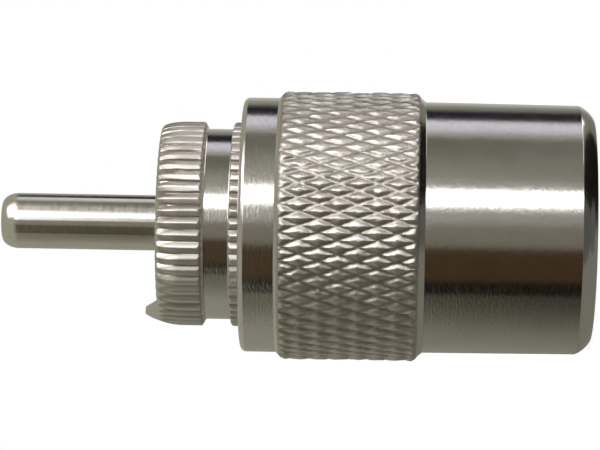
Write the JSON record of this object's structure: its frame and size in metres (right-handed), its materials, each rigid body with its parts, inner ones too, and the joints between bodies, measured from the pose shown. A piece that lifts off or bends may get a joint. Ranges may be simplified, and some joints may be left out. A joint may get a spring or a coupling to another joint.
{
  "type": "uhf connector",
  "caption": "Coaxial cable plug with a hollow centre pin, an insulator, a toothed body with a lug, and a knurled coupling nut that slides and turns.",
  "frame": {"origin": "centre of the rear end of the plug, where the cable goes in, with the coupling nut pushed back", "axes": "+Z along the plug's axis, from the cable end to the tip of the pin"},
  "size_m": [0.0192, 0.0192, 0.042],
  "materials": {
    "nickel_nut": "nickel plated brass, fine turned marks and a diamond knurl",
    "nickel_body": "nickel plated brass, fine turned marks",
    "nickel_pin": "nickel plated brass, smooth",
    "insulator_plastic": "off-white plastic, satin",
    "spring_steel": "plain spring steel"
  },
  "bodies": {
    "plug": {"plug_body": "nickel_body", "insulator": "insulator_plastic", "center_contact": "nickel_pin"},
    "ring": {"retaining_ring": "spring_steel"},
    "nut": {"coupling_nut": "nickel_nut"}
  },
  "joints": [
    {"name": "nut_slide", "type": "slide", "parent": "plug", "child": "ring", "axis": [0, 0, 1], "range_m": [0, 0.0155]},
    {"name": "nut_spin", "type": "hinge", "parent": "ring", "child": "nut", "pos_m": [0, 0, 0.0018], "axis": [0, 0, 1], "continuous": true}
  ]
}
